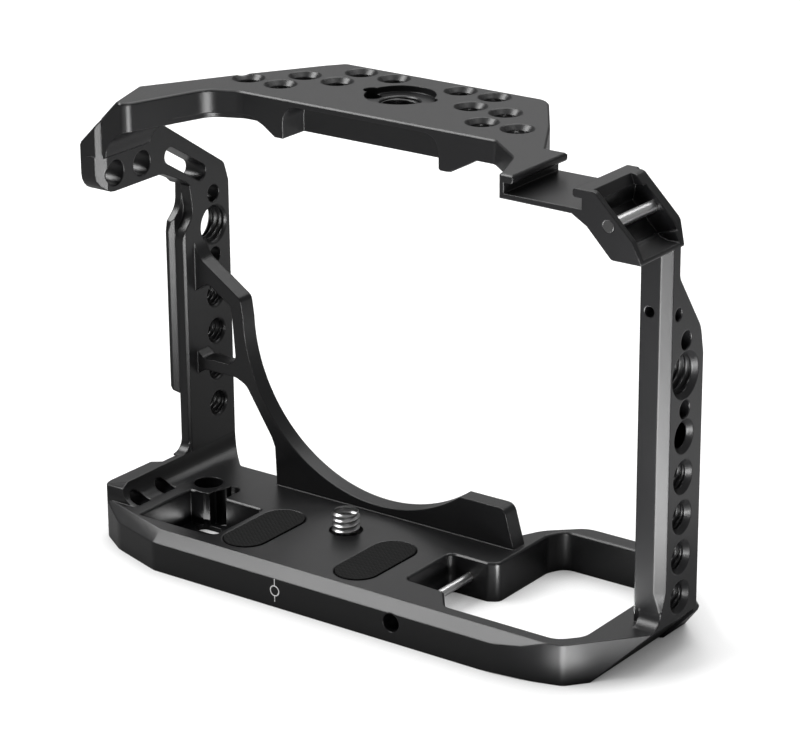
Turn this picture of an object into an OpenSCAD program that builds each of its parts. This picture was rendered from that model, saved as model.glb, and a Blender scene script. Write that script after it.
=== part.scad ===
// Camera cage: an open frame that wraps a camera body, milled from one billet of
// light alloy and black anodised. X runs across the camera from the lens axis, Y runs
// from the back of the camera to the lens side, and Z runs up from the bottom face.
// The billet is modelled as its natural sections, which meet face to face.

/* [Overall] */
// Lens axis to the left outer face
left_x = 57.5; // [55:0.5:60]
// Lens axis to the right outer face
right_x = 84.6; // [82:0.2:90]
// Bottom face to the top face
cage_h = 104.5; // [102:0.5:112]
// Back face to the front edge of the top plate
cage_d = 62.4; // [61:0.2:66]

/* [Base] */
// Thickness of the base plate
base_t = 9.2; // [8.6:0.1:10]
// Back face to the front edge of the base plate
base_d = 42.2; // [41.6:0.2:44]
// Back face to the front edge of the battery bridge
bridge_d = 58; // [57:0.2:59]
// Size of the 45 degree bevel along the upper back edge
back_bevel = 2.5; // [1:0.1:3]
// Width of the chamfer under the right side
under_w = 8.3; // [5:0.1:9]
// Height of the side rim above the base plate
rim_h = 4.1; // [3:0.1:5]
// Radius between the rim and the base plate
rim_r = 4.8; // [3:0.1:5.5]

/* [Battery opening] */
// Lens axis to the left edge
bat_left = 26.5; // [26:0.5:29]
// Lens axis to the step where the opening widens
bat_step = 38.5; // [37:0.5:40]
// Lens axis to the right edge
bat_right = 73.5; // [70:0.5:74]
// Back face to the near edge
bat_near = 5.5; // [4.5:0.5:7]
// Back face to the near edge of the narrow part
bat_near_narrow = 12; // [11:0.5:13]
// Back face to the far edge of the narrow part
bat_far_narrow = 29; // [27:0.5:31]
// Wall between the opening and the front edge of the bridge
bridge_wall = 4.6; // [3:0.2:6]

/* [Left upright] */
// Lens axis to the inner face of the left upright
left_in = 51.6; // [50.6:0.2:52.4]
// Thickness of the upright at its rear edge
rail_t = 4.5; // [4:0.1:5]
// Size of the bevel on the rail's rear edge
rail_bevel = 1.1; // [0.5:0.1:1.4]
// Size of the bevel on the inner rear edge
edge_bevel = 0.55; // [0.2:0.05:1]
// Thickness of the neck below the rail
neck_t = 2.7; // [2:0.1:3.2]
// Back face to the rear edge of the upright
left_near = 35; // [33:0.5:37]
// Back face to the front edge of the upright
left_far = 50.9; // [49:0.2:53]
// Height where the rail starts
rail_z = 27.4; // [26:0.2:28.6]
// Length of the relief below the rail
relief_l = 5.4; // [4:0.2:6]

/* [Left arm] */
// Back face to the rear end of the arm
arm_near = 7.2; // [6:0.1:8]
// Top face down to the underside of the arm
arm_drop = 21.8; // [20.5:0.1:23]
// Size of the bevel on the arm's rear end
arm_bevel = 2; // [1:0.1:2.4]
// Diameter of the two plain holes in the arm
arm_hole_d = 5.8; // [5:0.1:6.2]
// Radius inside the top corner
corner_r = 8; // [6:0.2:9]
// Size of the outer bevel of the top corner
corner_bevel = 10.6; // [8:0.2:11]

/* [Right upright] */
// Thickness of the right upright
right_t = 6.55; // [5.5:0.05:8]
// Back face to the rear face of the upright
right_near = 21.9; // [21:0.1:24]
// Back face to the front face of the upright
right_far = 37.4; // [36:0.1:39]
// Size of the 45 degree bevel on its rear edge
right_bevel = 1.9; // [1:0.1:2.5]
// Size of the bevel on its front edge
right_front_bevel = 1.2; // [0.6:0.1:1.6]

/* [Lens support] */
// Thickness of the lens support
arch_t = 4.2; // [3:0.2:5.6]
// Height of the lens axis
lens_z = 48.7; // [47:0.1:50]
// Web left under the arch round the lens mount
arch_web = 1.7; // [1.2:0.1:3]

/* [Top plate] */
// Thickness of the top plate
top_t = 5.3; // [4.5:0.1:6]
// Rear edge to the front edge of the top plate
top_depth = 32; // [31:0.2:33.6]
// Half width of the top plate at its rear edge
top_half = 36.8; // [36:0.2:38.6]
// Depth of the central block below the top face
block_h = 9; // [7.6:0.1:10]
// Skin left over the flash recess
recess_skin = 1.4; // [1:0.1:2.5]
// Front edge to the middle of the 3/8 inch top mount
mount_in = 14.7; // [14:0.1:15.6]
// Extra depth of the beam that joins the plate to the corner
beam_drop = 1.2; // [0.6:0.1:2]

/* [Cold shoe] */
// Back face to the rear end of the shoe
shoe_near = 11.2; // [9:0.2:13]
// Length of the shoe
shoe_l = 20; // [18:0.5:21]
// Width of the slot
shoe_w = 18.6; // [18.4:0.1:19]
// Gap between the lips
shoe_gap = 14.3; // [12.5:0.1:15]
// Lens axis to the middle of the shoe
shoe_x = 61.35; // [60.8:0.05:62]
// Height of the slot under the lips
shoe_slot = 2.3; // [2:0.1:2.5]
// Thickness of the shoe floor
shoe_floor = 1.2; // [1:0.1:1.5]
// Thickness of the wall each side of the slot
shoe_side = 1.2; // [0.8:0.1:1.5]

/* [Strap housing] */
// Top face down to the housing's lower edge
strap_drop = 13.3; // [12:0.1:14]
// Thickness of the housing's rear and outer walls
strap_wall = 1.4; // [1:0.1:2]
// Thickness of the housing's front wall
strap_front = 2.5; // [2:0.1:3.5]
// Diameter of the strap pin
strap_pin_d = 2.5; // [2:0.1:3]
// Outer face to the strap pin
pin_in = 7.7; // [7.2:0.1:8.2]

/* [Holes] */
// Bore of the 1/4 inch threads
quarter_d = 5.2; // [5:0.1:5.6]
// Countersink rim of the 1/4 inch threads
quarter_rim = 7.6; // [7:0.1:8]
// Pitch of the 1/4 inch threads
pitch = 9; // [8.6:0.1:9.4]
// Rim of the 1/4 inch threads on the left inner face
quarter_inner = 6.4; // [6:0.1:7]
// Bore of the 3/8 inch threads
three_d = 8; // [7.8:0.1:8.6]
// Countersink rim of the 3/8 inch threads
three_rim = 10.4; // [10:0.1:11]
// Rim of the 3/8 inch thread on the left inner face
three_inner = 9.4; // [9:0.1:10]
// Diameter of the locating pin holes
locate_d = 4.1; // [3.8:0.1:4.3]
// Spacing of the locating pin holes from their thread
locate_gap = 7.5; // [7.3:0.1:7.8]

/* [Camera screw] */
// Outside diameter of the screw
screw_d = 6.35; // [6:0.05:6.5]
// Length of thread above the base plate
screw_out = 4.7; // [4.2:0.1:5.5]
// Back face to the screw
screw_y = 26; // [24:0.2:27]
// Travel of the captive screw
screw_travel = 3.2; // [2:0.1:3.4]
// Diameter of the screw's head
screw_head_d = 14; // [12:0.2:14.4]

/* [Pads] */
// Width of a pad
pad_w = 10; // [8:0.2:10.4]
// Length of a pad
pad_l = 23; // [18:0.5:25]
// Lens axis to the middle of a pad
pad_x = 15.4; // [14.4:0.1:15.8]
// Back face to the middle of a pad
pad_y = 16.2; // [15:0.1:18]
// Depth of the recess that holds a pad
pad_sink = 1; // [0.6:0.1:1.4]

/* [Hidden] */
$fn = 64;

eps = 0.05;           // overrun of every cut
seat_gap = 0.05;      // clearance round a piece in its recess
run_gap = 0.06;       // radial clearance of a turning piece
pad_rise = 0.15;      // height of a pad above the plate
pocket_r = 0.4;       // radius of the pocket's sharp corners
over = 4;             // overrun of the large trimming cuts

// Frame: the middle of the outer box stands on the origin
frame_x = (right_x - left_x) / 2;
frame_y = cage_d / 2;

// Heights and faces that several sections share
rim_z = base_t + rim_h;
rail_x = left_in + rail_t;                  // outer face of the rail at its rear edge
neck_x = left_in + neck_t;                 // outer face of the neck
left_k = (left_x - left_in) * 0.83;         // length that the left side's shares refer to
arm_z = cage_h - arm_drop;                 // underside of the arm
strap_z = cage_h - strap_drop;             // lower edge of the strap housing
arch_near = base_d - arch_t;               // rear face of the lens support
arch_r = lens_z - base_t - arch_web;
right_in = right_x - right_t;              // inner face of the right upright
top_z = cage_h - top_t;                    // underside of the top plate
top_near = cage_d - top_depth;             // rear edge of the top plate
block_z = cage_h - block_h;                // underside of the central block
bevel_z = base_t - back_bevel;             // foot of the rear bevel
bat_far = bridge_d - bridge_wall;
shoe_far = shoe_near + shoe_l;
shoe_top = top_z + shoe_floor;             // top of the shoe floor
shoe_l_wall = shoe_x - shoe_w / 2;
shoe_r_wall = shoe_x + shoe_w / 2;
shoe_l_lip = shoe_x - shoe_gap / 2;
shoe_r_lip = shoe_x + shoe_gap / 2;
frame_split = bat_step + (bat_near_narrow - bat_near) / 2; // where the battery frame starts
shoe_l_out = shoe_l_wall - shoe_side;
shoe_r_out = shoe_r_wall + shoe_side;

// Points of an arc of radius r round c from angle a0 to angle a1
function arc(c, r, a0, a1, n) =
  [for (i = [0:n]) c + r * [cos(a0 + (a1 - a0) * i / n), sin(a0 + (a1 - a0) * i / n)]];

function unit(v) = v / norm(v);
function pick(p, i) = p[(i + len(p)) % len(p)];
function xy(p) = [p[0], p[1]];

// Outline with its corners rounded: each point is [x, y, radius]. A radius that its two
// edges cannot hold is limited to what they can.
function corner(a, b, c, r, n) =
  let (u = unit(a - b), v = unit(c - b),
       half = acos(max(-1, min(1, u * v))) / 2,
       room = min(norm(a - b), norm(c - b)) * 0.49,
       t = min(r / tan(half), room),
       q = t * tan(half),
       m = b + unit(u + v) * q / sin(half),
       a0 = atan2((b + u * t - m)[1], (b + u * t - m)[0]),
       a1 = atan2((b + v * t - m)[1], (b + v * t - m)[0]),
       turn = (a1 - a0) > 180 ? a1 - a0 - 360 : (a1 - a0) < -180 ? a1 - a0 + 360 : a1 - a0)
  q == 0 ? [b] : [for (i = [0:n]) m + q * [cos(a0 + turn * i / n), sin(a0 + turn * i / n)]];

function rounded(p, n = 5) =
  [for (i = [0:len(p) - 1])
     each corner(xy(pick(p, i - 1)), xy(p[i]), xy(pick(p, i + 1)), p[i][2], n)];

// Outline in the plane X = const, drawn as [y, z] and extruded from x0 to x1
module across_x(x0, x1) {
  translate([x0, 0, 0]) rotate([90, 0, 90]) linear_extrude(x1 - x0) children();
}

// Outline in the plane Y = const, drawn as [x, z] and extruded from y0 to y1
module across_y(y0, y1) {
  translate([0, y1, 0]) rotate([90, 0, 0]) linear_extrude(y1 - y0) children();
}

// Straight bore along X, with its middle at [y, z]
module bore_x(y, z, d, x0, x1) {
  translate([x0, y, z]) rotate([0, 90, 0]) cylinder(d = d, h = x1 - x0);
}

// Threaded hole along X: the bore and a countersink at each face
module tapped_x(y, z, d, rim0, rim1, x0, x1) {
  bore_x(y, z, d, x0 - eps, x1 + eps);
  translate([x0 - eps, y, z]) rotate([0, 90, 0])
    cylinder(d1 = rim0 + 2 * eps, d2 = d - 2 * eps, h = (rim0 - d) / 2 + 2 * eps);
  translate([x1 + eps, y, z]) rotate([0, -90, 0])
    cylinder(d1 = rim1 + 2 * eps, d2 = d - 2 * eps, h = (rim1 - d) / 2 + 2 * eps);
}

module tapped_z(x, y, d, rim, z0, z1) {
  sink = (rim - d) / 2;
  translate([x, y, z0 - eps]) cylinder(d = d, h = z1 - z0 + 2 * eps);
  translate([x, y, z1 - sink - eps])
    cylinder(d1 = d - 2 * eps, d2 = rim + 2 * eps, h = sink + 2 * eps);
}

module slot(w, l, h) {
  linear_extrude(h) slot_outline(w, l);
}

module slot_outline(w, l) {
  square([w, l - w], center = true);
  for (s = [-1, 1]) translate([0, s * (l - w) / 2]) circle(d = w);
}

// Base

// Places along the back of the base, as shares of the distance they follow
back_left_share = 0.6;      // left end of the straight back face
back_right_share = 0.675;   // right end of the straight back face
corner_x_share = 0.8435;    // where the back turns into the left corner
corner_y_share = 0.072;
side_y_share = 0.1635;      // where the corner turns into the left side

back_left = -left_x * back_left_share;
back_right = right_x * back_right_share;
left_mid = [-left_x * corner_x_share, cage_d * corner_y_share];
left_end = [-left_x, cage_d * side_y_share];
side_y = right_near - right_bevel * 2;      // where the right side face starts
step_y = left_near - rim_r * 1.7;           // where the left side steps in to the neck
relief_far = left_near + relief_l;          // where the relief below the rail ends

module base_outline() {
  polygon(rounded([
    [back_left, 0, rim_r],
    [back_right, 0, 0],
    [right_x * 0.755, back_bevel * 0.36, 0],
    [right_x * 0.858, back_bevel * 1.36, back_bevel],
    [right_x, side_y, 0],
    [right_x, right_far, 0],
    [right_x * 0.757, bridge_d, rim_r],
    [bat_step * 1.13, bridge_d, rim_r * 1.3],
    [bat_step * 0.93, bat_far * 0.955, rim_r * 2],
    [bat_step * 0.82, base_d, rim_r],
    [-left_x * 0.75, base_d, rim_r * 0.4],
    [-left_in, left_far, 0],
    [-left_x, left_far, 0],
    [-left_x, relief_far, 0],
    [-neck_x, relief_far, 0],
    [-neck_x, step_y, 0],
    [-left_x, step_y, 0],
    [-left_x, left_end[1], rim_r * 0.3],
    [left_mid[0], left_mid[1], rim_r * 2],
  ]));
}

module battery_outline() {
  r = rim_r / 2;
  polygon(rounded([
    [bat_left, bat_near_narrow, r * 0.7],
    [bat_step * 0.96, bat_near_narrow - r * 0.2, r * 0.6],
    [bat_step * 1.08, bat_near, r],
    [bat_right - r * 1.6, bat_near, r * 1.8],
    [bat_right, bat_near + r * 1.8, r * 1.8],
    [bat_right, right_far + rim_r * 1.3, r * 1.4],
    [bat_right - rim_r * 1.9, bat_far, r * 1.4],
    [bat_step * 1.05, bat_far, r * 1.6],
    [bat_step, bat_far - rim_r * 0.9, r * 1.4],
    [bat_step, bat_far_narrow + r * 0.6, r * 0.8],
    [bat_step * 0.94, bat_far_narrow, r * 0.5],
    [bat_left, bat_far_narrow, r * 0.7],
  ]));
}

// Everything below the bevel that runs along the back face and round the left corner
module under_bevel(h) {
  reach = left_x + right_x;
  module along(a, b) {
    v = b - a;
    translate([a[0], a[1], 0]) rotate([0, 0, atan2(v[1], v[0])])
      translate([-reach / 2, 0, 0]) across_x(-over, reach * 1.5)
        polygon([[0, -over], [0, bevel_z], [h - bevel_z + over, h + over],
                 [reach, h + over], [reach, -over]]);
  }
  inset = back_bevel * 0.7;
  difference() {
    intersection() {
      along([back_left, 0], [back_right, 0]);
      along(left_mid, [back_left, 0]);
    }
    // the bevel runs out towards the left side
    above([left_mid[0], left_mid[1], bevel_z],
          [left_mid[0] + inset, left_mid[1] + inset * 0.63, base_t],
          [left_end[0], left_end[1], base_t]);
  }
}

// Everything above the plane through three points
module above(a, b, c) {
  n = cross(b - a, c - a);
  reach = left_x + right_x;
  translate(a) rotate([0, acos(n[2] / norm(n)), atan2(n[1], n[0])])
    translate([-reach / 2, -reach / 2, 0]) cube(reach);
}

// The back right corner keeps its full height past the bevel's end
module bevel_stop(h) {
  translate([back_right - back_bevel * 1.4, -eps, 0])
    linear_extrude(h) polygon([[0, 0], [right_x, 0], [right_x, base_d],
                               [back_bevel * 3.4, base_d], [back_bevel * 3.4, back_bevel]]);
}

// Cut under the right side, shallower over its last few millimetres
module under_chamfer() {
  lip = right_front_bevel;
  w = under_w;
  module cut(y0, y1, s) {
    across_y(y0, y1)
      polygon([[right_x - w + s, -over], [right_x - w + s, 0], [right_x + over, base_t - s + over],
               [right_x + over, -over]]);
  }
  cut(-over, right_far - lip * 2, 0);
  cut(right_far - lip * 2 - eps, bridge_d + over, lip * 0.8);
}

pocket_left = left_in - rim_r * 1.7;       // left edge of the pocket
pocket_right = pad_x + pad_w * 0.7;        // right edge of the pocket
pocket_near = bat_near + rim_r * 0.2;
pocket_far = base_d * 0.578;
pocket_floor = 1.2;
boss_r = 5.7;
boss_hole_d = 6.8;
boss_x = -(pocket_left - rim_r * 0.15);
boss_y = base_d * 0.709;
lobe_x = boss_x + boss_r * 1.2;
lobe_w = rim_r;

module pocket() {
  translate([0, 0, pocket_floor]) linear_extrude(base_t) difference() {
    union() {
      polygon(rounded([
        [-pocket_left, pocket_near, pocket_r], [-pocket_right, pocket_near, rim_r / 4],
        [-pocket_right, pocket_far, rim_r / 4], [-pocket_left, pocket_far, pocket_r]]));
      translate([lobe_x, pocket_far]) slot_outline(lobe_w, lobe_w * 2.9);
    }
    translate([boss_x, boss_y]) circle(r = boss_r);
  }
  // windows through the pocket's floor
  translate([lobe_x - rim_r * 0.27, pocket_far - rim_r * 0.3, -eps])
    rotate([0, 0, 90]) slot(lobe_w * 0.75, lobe_w * 1.4, base_t);
  translate([lobe_x - rim_r * 0.15, boss_y - rim_r * 0.4, -eps]) cylinder(d = lobe_w * 0.7, h = base_t);
  translate([boss_x, boss_y, -eps]) cylinder(d = boss_hole_d, h = base_t + 2 * eps);
}

screw_room = 1.2;                          // room round the screw
screw_hole_d = screw_d + screw_room;
head_skin = 3;                             // plate left over the screw's head
head_z = base_t - head_skin;
head_room = 0.4;                           // clearance round the screw's head
pin_d = 2;
pin_x = bat_left + rim_r;
pin_z = base_t / 2;
pin_y0 = bat_near;
pin_y1 = bat_far_narrow + rim_r * 0.8;
access_d = 4.2;

module base_cuts() {
  linear_extrude(base_t * 3, center = true) battery_outline();
  under_chamfer();
}

module base_plate() color("#2b2b2d") {
  difference() {
    linear_extrude(base_t) intersection() {
      base_outline();
      translate([-left_x - over, -over]) square([left_x + frame_split + over, bridge_d + 2 * over]);
    }
    base_cuts();
    difference() {
      translate([-left_x - over, -over, -over])
        cube([left_x + frame_split + 2 * over, base_d + bridge_d, base_t + 2 * over]);
      under_bevel(base_t);
    }
    pocket();
    for (s = [-1, 1]) translate([s * pad_x, pad_y, base_t - pad_sink])
      slot(pad_w + 2 * seat_gap, pad_l + 2 * seat_gap, base_t);
    translate([0, screw_y, -eps]) cylinder(d = screw_hole_d, h = base_t + 2 * eps);
    translate([0, screw_y, -eps]) cylinder(d = screw_head_d + 2 * head_room, h = head_z + eps);
    // cross pin of the battery opening and its access hole
    translate([pin_x, -eps, pin_z]) rotate([-90, 0, 0]) cylinder(d = access_d, h = pin_y0 + eps);
    translate([pin_x, 0, pin_z]) rotate([-90, 0, 0]) cylinder(d = pin_d, h = pin_y1);
    side_holes();
  }
}

module battery_frame() color("#2b2b2d") {
  difference() {
    linear_extrude(base_t) intersection() {
      base_outline();
      translate([frame_split, -over]) square([right_x - frame_split + over, bridge_d + 2 * over]);
    }
    base_cuts();
    difference() {
      translate([frame_split - over, -over, -over])
        cube([right_x, back_bevel + over + over, base_t + 2 * over]);
      union() {
        under_bevel(base_t);
        bevel_stop(base_t);
      }
    }
  }
}

// Side rim: the raised left edge, with two threads along X that run out over the plate
side_hole_d = 4.2;
side_hole_near = left_near * 0.35;
side_hole_far = left_near * 0.603;

module side_holes() {
  for (y = [side_hole_near, side_hole_far]) {
    bore_x(y, base_t, side_hole_d, -left_x - eps, -left_in + rim_r);
  }
}

rim_near = left_end[1] * 0.87;              // rear end of the rim

module rim_profile(outer) {
  polygon(concat(
    [[-outer, base_t], [-outer, rim_z - (outer - left_in) * 0.2], [-left_in - rim_r * 0.1, rim_z]],
    arc([-left_in + rim_r, base_t + rim_r], rim_r,
        180 + asin((rim_r - rim_h) / rim_r), 270, 8)));
}

module side_rim() color("#2e2e30") {
  difference() {
    intersection() {
      union() {
        across_y(0, step_y) rim_profile(left_x);
        across_y(step_y, relief_far) rim_profile(neck_x);
        across_y(relief_far, left_far) rim_profile(left_x);
      }
      linear_extrude(rim_z) base_outline();
      // rounded rear end
      across_x(-left_x - over, 0) polygon([
        [rim_near, -over], [rim_near, base_t + rim_h * 0.3], [rim_near + rim_h * 0.22, rim_z - rim_h * 0.24],
        [rim_near + rim_h * 0.7, rim_z], [rim_near + rim_h * 0.7, rim_z + over],
        [cage_d, rim_z + over], [cage_d, -over]]);
    }
    side_holes();
  }
}

// Left side

hole_y = (left_near + left_far) / 2 + left_k * 0.46;  // column of threads
hole_z0 = base_t + left_far * 0.257;                  // lowest thread
turn_z = arm_z - left_k * 1.06;                       // where the upright turns into the arm
three_z = turn_z - locate_gap * 1.5;
left_holes = floor((three_z - hole_z0) / pitch);      // threads that fit below it

// Rear edge of the upright from the rim to the arm, as [y, z]
module left_outline(near) {
  k = left_k;
  foot = rim_r * 0.65;
  difference() {
    polygon(rounded([
      [near - foot, base_t, 0], [near - foot, rim_z + foot, 0], [near, rim_z + foot, 0],
      [near, three_z + 0.1 * k, k],
      [near + 0.75 * k, three_z + 0.8 * k, k],
      [near + 0.5 * k, turn_z, 0],
      [left_far - 0.12 * k, turn_z, 0],
      [left_far, turn_z - 0.4 * k, k / 3],
      [left_far, base_t, 0]]));
    translate([near - foot, rim_z + foot]) circle(r = foot);
  }
}

module left_threads(x0, x1) {
  for (i = [0:left_holes - 1]) 
    tapped_x(hole_y, hole_z0 + i * pitch, quarter_d, quarter_rim, quarter_inner, x0, x1);
  tapped_x(hole_y, three_z, three_d, three_rim, three_inner, x0, x1);
  for (s = [-1, 1]) bore_x(hole_y, three_z + s * locate_gap, locate_d, x0 - eps, x1 + eps);
}

module left_upright() color("#2b2b2d") {
  difference() {
    across_x(-neck_x, -left_in) left_outline(left_near - edge_bevel);
    across_y(0, left_far + over) rim_profile(left_x);
    left_threads(-left_x, -left_in);
    // bevel along the inner rear edge
    translate([-left_in, left_near, 0]) linear_extrude(cage_h)
      polygon([[eps, eps], [-edge_bevel - eps, -edge_bevel - eps], [eps, -edge_bevel - eps]]);
  }
}

// Rail: the outer layer of the upright, bevelled along its rear edge, with a sloping lower
// end. It is thicker where the threads are.
module left_rail() color("#2e2e30") {
  k = left_k;
  near = left_near - edge_bevel - rail_bevel;
  difference() {
    union() {
      across_x(-rail_x, -neck_x) polygon(rounded([
        [relief_far, base_t, 0], [relief_far, rail_z, 0], [near, rail_z, 0],
        [near, three_z + 0.1 * k, k / 4], [near + 0.1 * k, three_z + 0.6 * k, k / 6],
        [near + 0.75 * k, three_z + 1.2 * k, k], [left_near + 0.45 * k, turn_z, 0],
        [left_far - 0.12 * k, turn_z, 0], [left_far, turn_z - 0.4 * k, k / 3],
        [left_far, base_t, 0]]));
      across_x(-left_x, -rail_x) polygon([
        [relief_far, base_t], [relief_far, turn_z], [left_far - 0.12 * k, turn_z],
        [left_far, turn_z - 0.4 * k], [left_far, base_t]]);
    }
    across_y(0, left_far + over) rim_profile(left_x);
    left_threads(-left_x, -left_in);
    translate([-neck_x, near, 0]) linear_extrude(cage_h)
      polygon([[eps, rail_bevel + eps], [-rail_bevel - eps, -eps], [eps, -eps]]);
    // lower end slopes back to the neck
    across_y(near - over, relief_far)
      polygon([[-rail_x - eps, rail_z - eps], [-neck_x, rail_z - eps], [-rail_x - eps, rail_z + k * 0.3]]);
  }
}

foot_z = top_z - corner_r;                 // where the arm meets the top corner
low_z = top_z - beam_drop;                 // underside of the beam
arm_hole_y = arm_near + left_k * 0.94;
arm_hole_z = arm_z + arm_hole_d * 0.72;
arm_slot_w = 4;

// Arm: the side plate that carries the upright over to the top corner
module left_arm() color("#2b2b2d") {
  k = left_k;
  difference() {
    across_x(-left_x, -left_in) polygon(rounded([
      [left_near + 0.45 * k, turn_z, 0],
      [left_near + 0.1 * k, turn_z + 0.3 * k, k],
      [left_near - 1.5 * k, arm_z, k],
      [arm_near, arm_z, k],
      [arm_near, foot_z, 0],
      [arm_near + k, foot_z, 0],
      [arm_near + 1.5 * k, low_z - 0.2 * k, 0],
      [left_near - 1.7 * k, low_z - 0.6 * k, k / 2],
      [left_far - 0.3 * k, turn_z + 0.55 * k, k / 2],
      [left_far - 0.12 * k, turn_z, 0],
    ]));
    for (y = [arm_hole_y, arm_hole_y + pitch])
      bore_x(y, arm_hole_z, arm_hole_d, -left_x - eps, -left_in + eps);
    arm_end_bevel();
    top_corner();
    // sloping slot
    translate([-left_x - eps, left_near + 0.15 * k, (arm_z + turn_z) / 2 + 0.6 * k])
      rotate([90, 0, 90]) rotate([0, 0, 58.5]) slot(arm_slot_w, arm_slot_w * 4, left_k * 2);
  }
}

module arm_end_bevel() {
  b = arm_bevel;
  translate([-left_in, arm_near, 0]) linear_extrude(cage_h)
    polygon([[-b - eps, -eps], [eps, b + eps], [eps, -eps]]);
}

// Lens support

module lens_outline() {
  t = base_d - arch_near;
  lobe_z = base_t + t * 2.2;
  a0 = -asin((lens_z - lobe_z) / arch_r);
  a1 = -178.5;
  strut_z = lens_z - arch_r * 0.36;
  difference() {
    polygon(concat(
      rounded([
        [-arch_r * 0.775, base_t, 0],
        [arch_r * 0.98, base_t, 0],
        [arch_r * 0.91, lobe_z, t / 2],
        [arch_r * cos(a0), lobe_z, 0]]),
      arc([0, lens_z], arch_r, a0, a1, 48),
      rounded([
        [-arch_r * 1.02, lens_z + t * 0.9, t / 2],
        [-left_in + t * 0.3, lens_z + t * 2.75, t],
        [-left_in, lens_z + t * 3.6, 0],
        [-left_in, strut_z - t * 0.8, 0],
        [-left_in + t * 0.5, strut_z - t * 0.45, t / 2],
        [-arch_r * 1.07, strut_z - t * 0.45, t],
        [-arch_r * 0.99, strut_z - t * 0.75, t],
        [-arch_r * 0.8, base_t + t * 2.75, t],
        [-arch_r * 0.775, base_t + t * 2.2, 0]])));
    // window between the arm and the strut
    polygon(rounded([
      [-left_in, strut_z + t * 0.55, 0],
      [-left_in + t * 0.4, strut_z + t * 0.2, t / 3],
      [-arch_r * 1.12, strut_z + t * 0.2, t / 2],
      [-arch_r * 1.065, strut_z + t * 0.55, t / 2],
      [-arch_r * 1.09, lens_z + t * 0.35, t / 2],
      [-left_in + t * 0.85, lens_z + t * 1.4, t / 2],
      [-left_in, lens_z + t * 0.8, 0]]));
  }
}

module lens_support() color("#2e2e30") {
  across_y(arch_near, base_d) lens_outline();
}

// Top

top_split = 4 * pitch + quarter_rim / 2 + 2 * rim_r / 10;  // where the plate meets the corner

module top_outline() {
  k = left_k;
  turn_y = cage_d - mount_in * 1.375;
  polygon(rounded([
    [-top_half * 0.84, top_near, rim_r],
    [top_half, top_near, rim_r / 2],
    [shoe_l_out * 0.92, shoe_near * 2, rim_r],
    [shoe_l_out * 0.992, shoe_near * 1.17, rim_r / 2],
    [shoe_l_out, shoe_near, 0],
    [shoe_l_out, shoe_far, 0],
    [shoe_l_out * 0.96, shoe_far, 0],
    [top_half * 1.1, cage_d - mount_in * 1.146, rim_r],
    [top_half * 0.79, cage_d, rim_r],
    [-top_half * 0.7, cage_d, rim_r / 3],
    [-top_half * 1.054, turn_y, 0],
    [-left_x, arm_near + k * 0.65, k / 4],
    [-left_x, arm_near, 0],
    [-left_in + k * 1.2, arm_near + k * 0.1, k / 4],
    [-left_in + k * 1.5, arm_near + k * 0.3, k / 2],
    [-top_split + rim_r * 0.6, top_near * 0.9, rim_r * 1.2]]));
}

mount_y = cage_d - mount_in;               // middle of the 3/8 inch top mount
ring_d = three_d * 1.98;
recess_far = mount_y - ring_d / 2 - recess_skin * 1.3;  // back wall of the flash recess
row_far = mount_y + pitch * 1.12;
row_mid = mount_y + pitch * 0.12;
row_near = mount_y - pitch * 0.86;

module top_holes() {
  for (row = [[1, row_far], [2, row_mid], [3, row_near]]) for (s = [-1, 1]) for (k = [0, 1])
    tapped_z(s * (row[0] + k) * pitch, row[1], quarter_d, quarter_rim, block_z - eps, cage_h);
  tapped_z(0, mount_y, three_d, three_d * 1.2, block_z - eps, cage_h - locate_gap * 0.2);
  translate([0, mount_y, cage_h - locate_gap * 0.2]) cylinder(d = ring_d, h = locate_gap);
  for (s = [-1, 1]) translate([s * locate_gap, mount_y, cage_h - locate_gap * 0.5])
    cylinder(d = locate_d, h = locate_gap);
}

module recess() {
  k = recess_skin;
  across_y(-over, recess_far) polygon(rounded([
    [-top_half * 0.52, block_z - over, 0], [-top_half * 0.52, cage_h - k, rim_r * 0.8],
    [top_half * 0.61, cage_h - k, rim_r * 0.8], [top_half * 0.61, block_z - over, 0]]));
}

module top_plate() color("#2b2b2d") {
  difference() {
    translate([0, 0, top_z]) linear_extrude(top_t) intersection() {
      top_outline();
      translate([-top_split, 0]) square([top_split + shoe_l_out, cage_d]);
    }
    recess();
    top_holes();
  }
}

// Central block under the plate, with the two feet beside the flash recess and the
// rib that deepens the beam to the corner
module top_block() color("#2b2b2d") {
  d = top_z - block_z;
  difference() {
    union() {
      across_y(top_near, cage_d * 0.94) polygon([
        [-top_half * 0.76, top_z], [-top_half * 0.67, top_z - d * 0.4],
        [-top_half * 0.58, block_z], [top_half * 0.69, block_z],
        [top_half * 0.79, top_z - d * 0.44], [top_half * 0.87, top_z]]);
      translate([0, 0, top_z - beam_drop]) linear_extrude(beam_drop) intersection() {
        translate([beam_drop / 4, beam_drop]) top_outline();
        translate([-top_split, 0]) square([top_split - top_half * 0.6, recess_far]);
      }
    }
    recess();
    top_holes();
  }
}

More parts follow.
